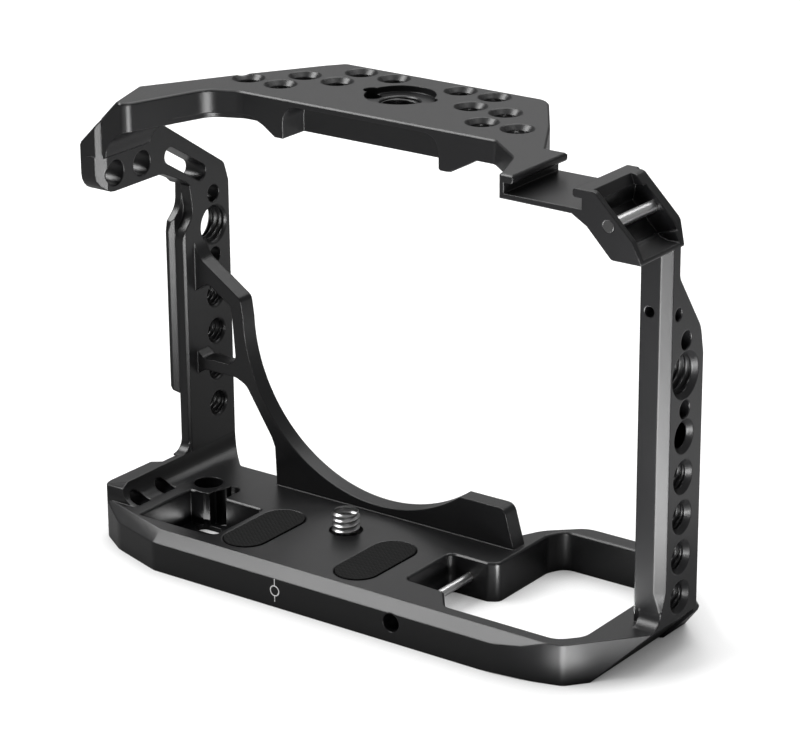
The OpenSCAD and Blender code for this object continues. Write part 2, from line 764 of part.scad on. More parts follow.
// Corner beam from the arm up and over to the top plate
module top_corner() color("#2e2e30") {
  k = left_k;
  difference() {
    intersection() {
      across_y(0, cage_d) polygon(concat(
        [[-left_x, foot_z], [-left_x, cage_h], [-top_split, cage_h], [-top_split, low_z]],
        arc([-left_in + corner_r, foot_z], corner_r - beam_drop, 90, 180, 8),
        [[-left_in, foot_z]]));
      linear_extrude(cage_h) top_outline();
      // the front edge follows the arm's sloping top
      across_x(-left_x - over, 0) polygon([
        [0, foot_z], [left_near - 0.89 * k, foot_z], [left_near - 1.5 * k, foot_z + 0.4 * k],
        [left_near - 1.2 * k, low_z - 0.2 * k], [cage_d, low_z - 0.2 * k],
        [cage_d, cage_h], [0, cage_h]]);
    }
    // outer bevel, wider towards the back
    translate([corner_bevel - left_x, arm_near, cage_h]) rotate([0, 0, 18.2])
      across_y(-cage_d, cage_d) polygon([[0, 0], [-left_x, -left_x * 1.05], [-left_x, over], [over, over]]);
    arm_end_bevel();
  }
}

// Cold shoe: a floor, a lip each side, open at both ends
module cold_shoe() color("#2b2b2d") {
  lip_z = shoe_top + shoe_slot;
  across_y(shoe_near, shoe_far) difference() {
    polygon([[shoe_l_out, top_z], [shoe_l_out, cage_h], [shoe_r_out, cage_h],
             [shoe_r_out, house_z], [shoe_r_wall - shoe_floor * 2, top_z]]);
    polygon([[shoe_l_wall, shoe_top], [shoe_l_wall, lip_z], [shoe_l_lip, lip_z],
             [shoe_l_lip, cage_h + over], [shoe_r_lip, cage_h + over], [shoe_r_lip, lip_z],
             [shoe_r_wall, lip_z], [shoe_r_wall, shoe_top]]);
  }
}

// Strap housing: a sloping box with an open top face and a pin across it
house_z = top_z - shoe_side * 1.7;         // underside where the housing meets the shoe
pin_cx = right_x - pin_in;
pin_cz = top_z - shoe_side;

function house_points() =
  let (k = right_t)
  [[shoe_r_out, cage_h, 0], [right_x - 1.7 * k, cage_h, k / 4],
   [right_x - 0.33 * k, top_z - 0.53 * k, k / 4], [right_x, strap_z + 0.05 * k, 0],
   [right_x, strap_z, 0], [right_x - 1.05 * k, strap_z, k / 6],
   [shoe_r_out, house_z, 0]];

module strap_housing() color("#2b2b2d") {
  k = right_t;
  w = strap_wall;
  difference() {
    across_y(shoe_near, shoe_far - w) polygon(rounded(house_points()));
    // hollow, open to the upper right
    across_y(shoe_near + w, shoe_far - w - strap_front)
      polygon([[right_x - 1.75 * k, cage_h - w * 1.6], [right_x - 0.55 * k + over, top_z + over],
               [right_x + over, strap_z + k * 0.7], [right_x - 0.95 * k, strap_z + w * 1.2],
               [right_x - 1.85 * k, top_z - w * 0.4]]);
    translate([pin_cx, shoe_near - eps, pin_cz]) rotate([-90, 0, 0])
      cylinder(d = strap_pin_d, h = shoe_l);
    // front wall leans back at its foot
    across_x(shoe_r_out, right_x + over) polygon([
      [shoe_far - w + eps, strap_z + 0.8 * k], [shoe_far - w - 0.38 * k, strap_z - eps],
      [shoe_far, strap_z - eps], [shoe_far, strap_z + 0.8 * k]]);
  }
}

// Right side

right_hole_y = (right_near + right_far) / 2 - right_front_bevel * 0.3;
right_hole_z0 = base_t + pitch / 2;
right_three_z = strap_z - 3.745 * locate_gap;
right_holes = floor((right_three_z - right_hole_z0) / pitch);

module right_plan() {
  b = right_bevel;
  f = right_front_bevel;
  polygon([[right_in, right_near], [right_x - b, right_near], [right_x, right_near + b],
           [right_x, right_far - f], [right_x - f, right_far], [right_in, right_far]]);
}

module right_side() {
  k = right_t;
  across_x(right_in - over, right_x + over) polygon(rounded([
    [right_near, base_t, 0], [right_near, strap_z, 0], [right_far - 1.7 * k, strap_z, 0],
    [right_far - 1.7 * k, strap_z - k, k / 2], [right_far - 0.36 * k, right_three_z + k * 1.35, k],
    [right_far - 0.1 * k, right_three_z, k], [right_far, right_hole_z0 + 1.6 * pitch, k],
    [right_far, base_t, 0]]));
}

module right_upright() color("#2b2b2d") {
  difference() {
    intersection() {
      translate([0, 0, base_t]) linear_extrude(strap_z - base_t) right_plan();
      right_side();
    }
    for (i = [0:right_holes - 1])
      tapped_x(right_hole_y, right_hole_z0 + i * pitch, quarter_d, quarter_rim, quarter_rim,
               right_in, right_x);
    tapped_x(right_hole_y, right_three_z, three_d, three_rim, three_rim, right_in, right_x);
    for (s = [-1, 1])
      bore_x(right_hole_y, right_three_z + s * locate_gap, locate_d, right_in - eps, right_x + eps);
    // small fixing holes near the top
    bore_x(right_hole_y - right_t / 2, right_three_z + 1.85 * locate_gap, pin_d * 1.4,
           right_x - right_t / 2, right_x + eps);
    translate([right_in + right_t / 3, right_near - eps, right_three_z + 1.97 * locate_gap])
      rotate([-90, 0, 0]) cylinder(d = pin_d * 1.15, h = right_t / 2);
  }
}

// Foot: the fillet and the gusset where the upright meets the base
module right_foot() color("#2e2e30") {
  r = rim_r * 0.7;
  across_x(right_in + r * 0.4, right_x)
    polygon(concat([[right_near, base_t], [right_near, base_t + r]],
                   arc([right_near - r, base_t + r], r, 0, -90, 6)));
}

// Small pieces

washer_t = 0.6;
head_t = head_z - washer_t - screw_travel - head_room / 2;
neck_d = screw_d - 1.6;

module camera_screw() color("#c9c9cc") translate([0, screw_y, 0]) {
  z0 = head_z - washer_t - head_t;
  tip = (screw_d - neck_d) / 6;
  translate([0, 0, z0]) cylinder(d = neck_d, h = base_t - z0 + eps);
  translate([0, 0, z0]) difference() {
    cylinder(d = screw_head_d, h = head_t);
    translate([-screw_head_d, -washer_t, -eps]) cube([2 * screw_head_d, 2 * washer_t, head_t / 2]);
  }
  translate([0, 0, base_t]) {
    cylinder(d = screw_d, h = screw_out - tip);
    translate([0, 0, screw_out - tip]) cylinder(d1 = screw_d, d2 = screw_d - 2 * tip, h = tip);
  }
}

module screw_washer() color("#d8d8d8") translate([0, screw_y, head_z - washer_t]) difference() {
  cylinder(d = screw_head_d - 2 * washer_t, h = washer_t);
  translate([0, 0, -eps]) cylinder(d = neck_d + 2 * run_gap, h = washer_t + 2 * eps);
}

module pad(side) {
  color("#151515") translate([side * pad_x, pad_y, base_t - pad_sink])
    slot(pad_w, pad_l, pad_sink + pad_rise);
}

module pad_left() pad(-1);

module pad_right() pad(1);

module strap_pin() color("#c4c4c6")
  translate([pin_cx, shoe_near, pin_cz]) rotate([-90, 0, 0])
    cylinder(d = strap_pin_d, h = shoe_l - 1.5 * strap_wall);

module battery_pin() color("#c4c4c6")
  translate([pin_x, pin_y0, pin_z]) rotate([-90, 0, 0]) cylinder(d = pin_d, h = pin_y1 - pin_y0);

// Move from the lens axis frame to the middle of the outer box
module placed() {
  translate([-frame_x, -frame_y, 0]) children();
}

placed() base_plate();
placed() battery_frame();
placed() side_rim();
placed() left_upright();
placed() left_rail();
placed() left_arm();
placed() lens_support();
placed() top_corner();
placed() top_plate();
placed() top_block();
placed() cold_shoe();
placed() strap_housing();
placed() right_upright();
placed() right_foot();
placed() camera_screw();
placed() screw_washer();
placed() pad_left();
placed() pad_right();
placed() strap_pin();
placed() battery_pin();
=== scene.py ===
"""Looks of the camera cage: black anodised alloy, steel screw and pins, ribbed rubber pads."""
from math import cos, pi, radians, sin

import bmesh
import bpy
from mathutils import Matrix, Vector


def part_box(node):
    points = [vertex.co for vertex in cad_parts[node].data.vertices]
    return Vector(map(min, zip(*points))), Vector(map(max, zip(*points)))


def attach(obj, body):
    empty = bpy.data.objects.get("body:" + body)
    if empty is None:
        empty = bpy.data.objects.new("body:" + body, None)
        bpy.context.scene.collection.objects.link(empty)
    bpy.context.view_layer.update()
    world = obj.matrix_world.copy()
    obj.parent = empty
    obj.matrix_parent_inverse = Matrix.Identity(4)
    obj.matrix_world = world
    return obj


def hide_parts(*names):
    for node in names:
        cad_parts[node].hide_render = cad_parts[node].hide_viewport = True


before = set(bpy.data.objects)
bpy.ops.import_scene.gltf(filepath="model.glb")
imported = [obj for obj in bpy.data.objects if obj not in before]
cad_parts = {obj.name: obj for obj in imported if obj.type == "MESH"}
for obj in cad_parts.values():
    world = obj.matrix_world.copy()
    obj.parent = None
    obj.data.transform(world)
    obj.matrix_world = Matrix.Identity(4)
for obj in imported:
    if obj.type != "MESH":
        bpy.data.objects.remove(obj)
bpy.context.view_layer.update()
scene = bpy.context.scene

MM = 0.001
LENS_AXIS = Vector((-13.55, -31.2, 0)) * MM   # where the lens axis and the back face meet the floor

CAGE, SCREW = "cage", "screw"
BILLET = [
    "base_plate", "battery_frame", "side_rim", "left_upright", "left_rail", "left_arm",
    "lens_support", "top_corner", "top_plate", "top_block", "cold_shoe", "strap_housing",
    "right_upright", "right_foot",
]


def at(x, y, z):
    """A place in millimetres from the lens axis, the back face and the floor."""
    return Vector((x, y, z)) * MM + LENS_AXIS


# Sizes and places in millimetres, as at() takes them

BASE_TOP = 9.2
BACK_BEVEL = 2.5                             # along the upper rear edge of the base
BEVEL_END, BEVEL_RUN = 40, 38                # where its straight part ends, and how far it runs on
END_CENTRE, END_RADIUS = (-51.5, 13.5), 6    # rounded left end of the base
END_NEAR, END_LEFT, END_OUTSIDE = 7.2, -55.6, -59
MOUTH_NEAR, MOUTH_DEPTH = 12.6, 13.8         # opening in the top of the strap housing
MOUTH = [(72.3, 105.5), (72.5, 104.4), (74.6, 99.2), (79.5, 92.6), (81.5, 92.0), (86, 92.0),
         (86, 105.5)]                        # its outline in X and Z
RIGHT_FACE, RIGHT_NEAR = 84.6, 21.9          # outer and rear faces of the right upright
RIGHT_FOOT_TOP = 12.56
NARROWING = [(16.8, 1.9), (13.8, 0.8), (12.5, 0.35)]   # height and bevel of its rear edge
INTO_UPRIGHT = 2.3                           # how far the filled corner reaches inwards
CHAMFER = 0.4

PITCH = 9.0                                  # between neighbouring holes
RIGHT_Y, RIGHT_START, RIGHT_LENGTH = 29.29, 79.3, 4.1
RIGHT_LOWEST, RIGHT_LARGE = 13.7, 63.1125    # heights of the lowest hole and the 3/8 inch one
LEFT_Y, LEFT_START, LEFT_LENGTH = 45.203, -56.3, 4.1
LEFT_LOWEST, LEFT_LARGE, LEFT_LARGE_LENGTH = 22.281, 66.259, 4.0
TOP_ROWS = [(57.78, (1, 2)), (48.78, (2, 3)), (39.96, (3, 4))]   # Y, and pitches from the middle
TOP_START, TOP_LENGTH = 99.4, 3.8
MOUNT_Y, MOUNT_START, MOUNT_LENGTH = 47.7, 97.5, 5.0

SCREW_Y = 26
SCREW_ROOT, SCREW_OUTSIDE, SCREW_TIP = 2.62, 3.175, 2.75   # radii
NECK_RADIUS, HEAD_RADIUS, HEAD_HEIGHT, HEAD_BEVEL = 2.375, 7, 2.2, 0.25
COIN_SLOT, COIN_SLOT_UP = (30.0, 1.3, 1.2), 0.5

MARK_HEIGHT, MARK_DEPTH = 3.9, 0.2           # white index mark on the back face
RING_RADIUS, RING_HALF = 1.15, 0.13
LINE_HALF_WIDTH, LINE_HALF_LENGTH, LINE_UP = 0.11, 2.7, 0.1


# Materials

class Wire:
    """One output socket, with arithmetic that adds Math nodes."""

    def __init__(self, bench, socket):
        self.bench, self.socket = bench, socket

    def __add__(self, other):
        return self.bench.math("ADD", self, other)

    def __sub__(self, other):
        return self.bench.math("SUBTRACT", self, other)

    def __mul__(self, other):
        return self.bench.math("MULTIPLY", self, other)

    def __pow__(self, other):
        return self.bench.math("POWER", self, other)

    def __abs__(self):
        return self.bench.math("ABSOLUTE", self)

    def __lt__(self, other):
        return self.bench.math("LESS_THAN", self, other)

    def __gt__(self, other):
        return self.bench.math("GREATER_THAN", self, other)

    __radd__, __rmul__ = __add__, __mul__


class Finish:
    """A material and the bench on which its nodes are laid out."""

    def __init__(self, name):
        self.material = bpy.data.materials.new(name)
        self.material.use_nodes = True
        self.tree = self.material.node_tree
        self.tree.nodes.clear()

    def node(self, kind, settings=None, **sockets):
        """A new node; sockets are named, or i0, i1 and so on by their place."""
        made = self.tree.nodes.new(kind)
        for key, value in (settings or {}).items():
            setattr(made, key, value)
        for key, value in sockets.items():
            self.join(made, key, value)
        return made

    def join(self, node, key, value):
        names = {s.name.replace(" ", "_"): s for s in reversed(node.inputs) if s.enabled}
        socket = node.inputs[int(key[1:])] if key[0] == "i" and key[1:].isdigit() else names[key]
        if isinstance(value, Wire):
            self.tree.links.new(value.socket, socket)
        elif isinstance(value, bpy.types.NodeSocket):
            self.tree.links.new(value, socket)
        else:
            socket.default_value = value

    def math(self, operation, *values):
        made = self.node("ShaderNodeMath", {"operation": operation},
                         **{f"i{i}": v for i, v in enumerate(values)})
        return self.wire(made)

    def wire(self, node, output=0):
        return Wire(self, node.outputs[output])

    def coordinates(self):
        return self.node("ShaderNodeTexCoord").outputs["Object"]

    def along(self, origin=(0, 0, 0)):
        """X, Y and Z in millimetres from a place on the piece."""
        shift = self.node("ShaderNodeMapping", {"vector_type": "POINT"}, Vector=self.coordinates(),
                          Location=tuple(-c / MM for c in origin), Scale=(1 / MM, 1 / MM, 1 / MM))
        split = self.node("ShaderNodeSeparateXYZ", None, Vector=shift.outputs[0])
        return [self.wire(split, i) for i in range(3)]

    def noise(self, scale, detail=2.0, roughness=0.5):
        made = self.node("ShaderNodeTexNoise", None, Vector=self.coordinates(), Scale=scale,
                         Detail=detail, Roughness=roughness)
        return self.wire(made)

    def blend(self, share, first, second):
        made = self.node("ShaderNodeMix", {"data_type": "RGBA"}, i0=share, i6=first, i7=second)
        return made.outputs[2]

    def greys(self, share, dark, light):
        """A grey between a dark and a light one."""
        return self.blend(share, (dark, dark, dark, 1), (light, light, light, 1))

    def bump(self, height, strength, distance, **sockets):
        made = self.node("ShaderNodeBump", None, Height=height, Strength=strength,
                         Distance=distance, **sockets)
        return made.outputs[0]

    def rounded(self, radius, samples=6):
        """Normals that round every edge a little."""
        return self.node("ShaderNodeBevel", {"samples": samples}, Radius=radius).outputs[0]

    def surface(self, **sockets):
        shader = self.node("ShaderNodeBsdfPrincipled", None, **sockets)
        self.node("ShaderNodeOutputMaterial", None, Surface=shader.outputs[0])
        return self.material


def index_mark(f):
    """One on the index mark, a ring with a line above and below it, and nought elsewhere."""
    x, y, z = f.along(at(0, 0, MARK_HEIGHT))
    radius = (x * x + z * z) ** 0.5
    ring = abs(radius - RING_RADIUS) < RING_HALF
    beside, beyond = abs(x) < LINE_HALF_WIDTH, abs(z - LINE_UP) < LINE_HALF_LENGTH
    line = beside * beyond * (radius > RING_RADIUS)
    return (abs(y) < MARK_DEPTH) * f.math("MAXIMUM", ring, line)


def black_anodised():
    """Bead-blasted alloy, dyed black, with a white index mark on its back face."""
    f = Finish("black_anodised")
    grain = f.noise(scale=6500.0, detail=2.0, roughness=0.6)
    cloud = f.noise(scale=38.0, detail=3.0, roughness=0.55)
    alloy = f.blend(cloud, (0.0035, 0.0035, 0.0039, 1), (0.006, 0.006, 0.0065, 1))
    colour = f.blend(index_mark(f), alloy, (0.78, 0.78, 0.78, 1))
    normal = f.bump(grain, strength=0.09, distance=0.0002, Normal=f.rounded(0.00045, 8))
    return f.surface(Base_Color=colour, Roughness=0.29 + 0.06 * cloud, Normal=normal,
                     Specular_IOR_Level=0.5)


def turned_steel(name, dark, light, darker_below=-1000.0):
    """Turned steel, coloured a flat dark grey where Y is below a place in millimetres."""
    f = Finish(name)
    darkened = f.along(at(0, darker_below, 0))[1] < 0.0
    fine = f.noise(scale=2500.0)
    cloud = f.noise(scale=120.0)
    # Below that place the colour is a flat dark grey instead of the steel's own tone.
    colour = f.blend(darkened, f.greys(cloud, dark, light), (0.16, 0.16, 0.16, 1))
    return f.surface(Base_Color=colour, Metallic=1.0, Roughness=0.24 + 0.12 * fine,
                     Normal=f.rounded(0.00012))


def ribbed_rubber():
    """Black rubber with two crossing sets of fine ribs, askew to the plate, with painted shade in
    the grooves.
    """
    f = Finish("ribbed_rubber")
    x, y, z = f.along()
    rib_pitch, less, more = 0.8, 0.62, 0.78
    rib = f.math("SINE", (x * less + y * more) * (2 * pi / rib_pitch)) * 0.5 + 0.5
    cross = f.math("SINE", (x * more - y * less) * (2 * pi / rib_pitch)) * 0.5 + 0.5
    grain = f.noise(scale=4000.0, detail=3.0)
    height = rib * cross * 0.7 + grain * 0.3
    # Painted shade: the colour follows the rib height and is darker in the grooves. The grain adds
    # random tone.
    return f.surface(Base_Color=f.greys(height, 0.002, 0.012), Roughness=0.68 + 0.2 * grain,
                     Specular_IOR_Level=0.18, Normal=f.bump(height, strength=0.9, distance=0.0003))


def plain_nylon():
    """Natural nylon, a warm white."""
    f = Finish("plain_nylon")
    cloud = f.noise(scale=300.0)
    colour = f.blend(cloud, (0.70, 0.70, 0.68, 1), (0.8, 0.8, 0.78, 1))
    return f.surface(Base_Color=colour, Roughness=0.5 + 0.1 * cloud,
                     Normal=f.bump(f.noise(scale=3000.0), strength=0.1, distance=0.0001))


ALLOY, RUBBER, NYLON = black_anodised(), ribbed_rubber(), plain_nylon()
STEEL = turned_steel("turned_steel", 0.36, 0.5)
BRIGHT = turned_steel("bright_steel", 0.72, 0.86)
PIN_STEEL = turned_steel("strap_pin_steel", 0.85, 0.95, darker_below=11.4)


def dress(piece, material):
    piece.data.materials.clear()
    piece.data.materials.append(material)
    return piece


# Mesh helpers

def piece_from(bm, name, material):
    """A new piece with a bmesh's faces; the bmesh is used up."""
    mesh = bpy.data.meshes.new(name)
    bm.to_mesh(mesh)
    bm.free()
    made = bpy.data.objects.new(name, mesh)
    scene.collection.objects.link(made)
    return dress(made, material)


def smooth(piece, degrees=32):
    """Smooth shading, with edges above an angle sharp and flat faces flat."""
    bm = bmesh.new()
    bm.from_mesh(piece.data)
    for face in bm.faces:
        face.smooth = True
    for edge in bm.edges:
        if len(edge.link_faces) == 2:
            edge.smooth = edge.calc_face_angle() < radians(degrees)
    bm.to_mesh(piece.data)
    bm.free()
    weigh = piece.modifiers.new("flat faces stay flat", "WEIGHTED_NORMAL")
    weigh.keep_sharp = True
    weigh.weight = 100


def welded(node):
    """A copy of a CAD node as one closed mesh."""
    bm = bmesh.new()
    bm.from_mesh(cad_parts[node].data)
    bmesh.ops.remove_doubles(bm, verts=bm.verts, dist=0.0002 * MM)
    return piece_from(bm, "cut_" + node, ALLOY)


def combine(piece, tool, operation):
    """Applies a boolean of a piece with a tool, and removes the tool."""
    cut = piece.modifiers.new(operation, "BOOLEAN")
    cut.operation, cut.solver, cut.object = operation, "MANIFOLD", tool
    graph = bpy.context.evaluated_depsgraph_get()
    mesh = bpy.data.meshes.new_from_object(piece.evaluated_get(graph))
    piece.modifiers.clear()
    used = [piece.data, tool.data]
    piece.data = mesh
    bpy.data.objects.remove(tool)
    for old in used:
        bpy.data.meshes.remove(old)


def cut_away(body, corners, sweep):
    """Cuts away what an outline sweeps through; corners and sweep in millimetres."""
    bm = bmesh.new()
    face = bm.faces.new([bm.verts.new(at(*corner)) for corner in corners])
    swept = bmesh.ops.extrude_face_region(bm, geom=[face])
    moved = [v for v in swept["geom"] if isinstance(v, bmesh.types.BMVert)]
    bmesh.ops.translate(bm, verts=moved, vec=Vector(sweep) * MM)
    bmesh.ops.recalc_face_normals(bm, faces=bm.faces)
    combine(body, piece_from(bm, "cut", ALLOY), "DIFFERENCE")


def fill(body, corners):
    """Adds the convex solid between some corners, in millimetres."""
    bm = bmesh.new()
    for corner in corners:
        bm.verts.new(at(*corner))
    bmesh.ops.convex_hull(bm, input=bm.verts)
    bmesh.ops.recalc_face_normals(bm, faces=bm.faces)
    combine(body, piece_from(bm, "fill", ALLOY), "UNION")


# Threads

QUARTER = {"root": 3.2, "crest": 2.6, "pitch": 1.27}          # radii and pitch
THREE_EIGHTHS = {"root": 4.75, "crest": 4.0, "pitch": 1.59}
BEHIND_ROOT = 0.12      # from a thread's root to the wall behind it
FLAT = 0.12             # share of the pitch that is flat at the root and at the crest
THREAD_STEPS = 40       # faces around a thread
SAME_PLACE = 0.001      # points nearer than this are one
X, Z = Vector((1, 0, 0)), Vector((0, 0, 1))


def turned_to(axis, origin):
    """The placement of a shape made along Z from nought."""
    return Matrix.Translation(origin) @ Z.rotation_difference(axis).to_matrix().to_4x4()


def open_edges_at(bm, height):
    return [e for e in bm.edges if e.is_boundary
            and all(abs(v.co.z - height) < SAME_PLACE for v in e.verts)]


def helix(bm, root, crest, pitch, length, steps):
    """The surface of a thread from z = 0 to length: a zigzag edge spun with a rise of one pitch."""
    zigzag = ((root, 0.0), (root, FLAT), (crest, 0.5), (crest, 0.5 + FLAT))
    last, turns = None, int(length / pitch) + 2
    edges, corners = [], []
    for turn in range(turns):
        for radius, share in zigzag:
            corner = bm.verts.new((radius, 0, pitch * (turn - 1 + share)))
            if last:
                edges.append(bm.edges.new((last, corner)))
            last = corner
            corners.append(corner)
    bmesh.ops.spin(bm, geom=corners + edges, cent=(0, 0, 0), axis=(0, 0, 1),
                   dvec=(0, 0, pitch / steps), angle=2 * pi, steps=steps)
    bmesh.ops.remove_doubles(bm, verts=bm.verts, dist=SAME_PLACE)
    for height, way in ((0, -1), (length, 1)):
        bmesh.ops.bisect_plane(bm, geom=bm.verts[:] + bm.edges[:] + bm.faces[:], dist=0.0001,
                               plane_co=(0, 0, height), plane_no=(0, 0, way), clear_outer=True)


def thread_liner(bm, size, length, matrix):
    """Adds one internal thread: the ridges, and the wall behind them."""
    one = bmesh.new()
    helix(one, size["root"], size["crest"], size["pitch"], length, THREAD_STEPS)
    wall = size["root"] + BEHIND_ROOT
    bmesh.ops.create_cone(one, cap_ends=False, segments=THREAD_STEPS, radius1=wall, radius2=wall,
                          depth=length, matrix=Matrix.Translation((0, 0, length / 2)))
    rims = [open_edges_at(one, height) for height in (0, length)]
    for rim in rims:
        bmesh.ops.bridge_loops(one, edges=rim)
    bmesh.ops.triangulate(one, faces=[f for f in one.faces if len(f.verts) > 4])
    bmesh.ops.recalc_face_normals(one, faces=one.faces)
    if one.calc_volume(signed=True) < 0:
        bmesh.ops.reverse_faces(one, faces=one.faces)
    bmesh.ops.scale(one, vec=(MM, MM, MM), verts=one.verts)
    bmesh.ops.transform(one, matrix=matrix, verts=one.verts)
    mesh = bpy.data.meshes.new("liner")
    one.to_mesh(mesh)
    one.free()
    bm.from_mesh(mesh)
    bpy.data.meshes.remove(mesh)


def socket_cutter(bm, size, length, matrix):
    """Adds the cylinder that makes room for one internal thread."""
    wall = (size["root"] + BEHIND_ROOT) * MM
    bmesh.ops.create_cone(bm, cap_ends=True, segments=64, radius1=wall, radius2=wall,
                          depth=length * MM,
                          matrix=matrix @ Matrix.Translation((0, 0, length * MM / 2)))


def threaded_holes():
    """Size, start of the ridges, axis and length of every threaded hole."""
    holes = []
    for i in range(5):
        holes.append((QUARTER, at(RIGHT_START, RIGHT_Y, RIGHT_LOWEST + PITCH * i), X, RIGHT_LENGTH))
    holes.append((THREE_EIGHTHS, at(RIGHT_START, RIGHT_Y, RIGHT_LARGE), X, RIGHT_LENGTH))
    for i in range(4):
        holes.append((QUARTER, at(LEFT_START, LEFT_Y, LEFT_LOWEST + PITCH * i), X, LEFT_LENGTH))
    holes.append((THREE_EIGHTHS, at(LEFT_START, LEFT_Y, LEFT_LARGE), X, LEFT_LARGE_LENGTH))
    for y, steps in TOP_ROWS:
        for step in steps:
            for side in (-1, 1):
                holes.append((QUARTER, at(side * step * PITCH, y, TOP_START), Z, TOP_LENGTH))
    holes.append((THREE_EIGHTHS, at(0, MOUNT_Y, MOUNT_START), Z, MOUNT_LENGTH))
    return holes


# The milled frame

def runs_of(edges):
    """Groups of edges that meet end to end."""
    left = set(edges)
    while left:
        run, front = set(), [left.pop()]
        while front:
            edge = front.pop()
            run.add(edge)
            near = {other for v in edge.verts for other in v.link_edges} & left
            left -= near
            front += near
        yield run


def break_edges(bm, size):
    """Chamfers the long straight edges between broad faces, and the rims of the upper faces."""
    least_area, least_length = 6 * MM * MM, 5 * MM
    least_angle, most_angle = radians(50), radians(125)
    level, upright = 0.999, 0.002            # limits of a face's Z direction

    def broad(face):
        return face.calc_area() > least_area

    def sharp(edge):
        return (edge.is_manifold and edge.is_convex
                and least_angle < edge.calc_face_angle() < most_angle)

    def roomy(vert, room, run=()):
        return len(vert.link_edges) < 5 and all(
            e in run or e.calc_length() > room * size for e in vert.link_edges)

    def upper(edge):
        return (any(f.normal.z > level and broad(f) for f in edge.link_faces)
                and any(abs(f.normal.z) < upright for f in edge.link_faces))

    edges = {e for e in bm.edges if sharp(e) and e.calc_length() > least_length
             and all(broad(f) for f in e.link_faces) and all(roomy(v, 1.5) for v in e.verts)}
    rims, before = {e for e in bm.edges if sharp(e) and upper(e)}, 0
    while len(rims) != before:
        before = len(rims)
        rims = {e for e in rims if all(roomy(v, 2.2, rims) for v in e.verts)}
    for run in runs_of(rims):
        if max(e.calc_length() for e in run) > least_length:
            edges |= run
    bm.edges.index_update()
    bmesh.ops.bevel(bm, geom=sorted(edges, key=lambda e: e.index), offset=size,
                    offset_type="OFFSET", segments=1, profile=0.5, affect="EDGES",
                    clamp_overlap=False, material=-1)


def narrow_bevel(body):
    """The right upright's rear bevel narrows above its foot, and does not reach into the foot."""
    into_base = 0.2
    inner_x, inner_y = RIGHT_FACE - INTO_UPRIGHT, RIGHT_NEAR + INTO_UPRIGHT
    inside = [(inner_x, RIGHT_NEAR), (RIGHT_FACE, inner_y), (inner_x, inner_y)]
    fill(body, [(x, y, z) for z, bevel in NARROWING for x, y in [
        (RIGHT_FACE - bevel, RIGHT_NEAR), (RIGHT_FACE, RIGHT_NEAR + bevel)] + inside])
    fill(body, [(x, y, z) for z in (BASE_TOP - into_base, RIGHT_FOOT_TOP)
                for x, y in [(RIGHT_FACE, RIGHT_NEAR)] + inside])


def run_on_bevel(body):
    """The long rear bevel of the base runs on past the straight face and ends in a point."""
    past = 1
    outline = [(-BACK_BEVEL, BASE_TOP - 2 * BACK_BEVEL), (BACK_BEVEL + past, BASE_TOP + past),
               (-BACK_BEVEL, BASE_TOP + past)]
    cut_away(body, [(BEVEL_END, y, z) for y, z in outline], (BEVEL_RUN, 0, 0))


def open_housing(body):
    """The strap housing is open at the top too."""
    cut_away(body, [(x, MOUTH_NEAR, z) for x, z in MOUTH], (0, MOUTH_DEPTH, 0))


def round_left_end(body):
    """The left end of the base and its rim is rounded."""
    under, height = -1, 20
    x, y = END_CENTRE
    turn = [(x + END_RADIUS * cos(radians(a)), y + END_RADIUS * sin(radians(a)))
            for a in range(180, 239, 6)]
    outline = [(END_OUTSIDE, y)] + turn + [(END_LEFT, END_NEAR), (END_OUTSIDE, END_NEAR)]
    cut_away(body, [(x, y, under) for x, y in outline], (0, 0, height))


def make_billet(holes):
    """The whole milled frame in one skin, so that its sections show no seam."""
    body = welded(BILLET[0])
    body.name = "frame_body"
    for node in BILLET[1:]:
        combine(body, welded(node), "UNION")
    narrow_bevel(body)
    cutter = bmesh.new()
    for size, start, axis, length in holes:
        socket_cutter(cutter, size, length, turned_to(axis, start))
    combine(body, piece_from(cutter, "thread_sockets", ALLOY), "DIFFERENCE")
    run_on_bevel(body)
    open_housing(body)
    round_left_end(body)
    bm = bmesh.new()
    bm.from_mesh(body.data)
    bmesh.ops.remove_doubles(bm, verts=bm.verts, dist=0.001 * MM)
    bmesh.ops.dissolve_limit(bm, angle_limit=radians(0.6), verts=bm.verts, edges=bm.edges,
                             delimit={"NORMAL"})
    break_edges(bm, CHAMFER * MM)
    bm.to_mesh(body.data)
    bm.free()
    dress(body, ALLOY)
    smooth(body)
    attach(body, CAGE)
    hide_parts(*BILLET)


def make_threads(holes):
    """The ridges of every threaded hole, in one piece."""
    bm = bmesh.new()
    for size, start, axis, length in holes:
        thread_liner(bm, size, length, turned_to(axis, start))
    liners = piece_from(bm, "threads", ALLOY)
    smooth(liners, 50)
    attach(liners, CAGE)


# The camera screw

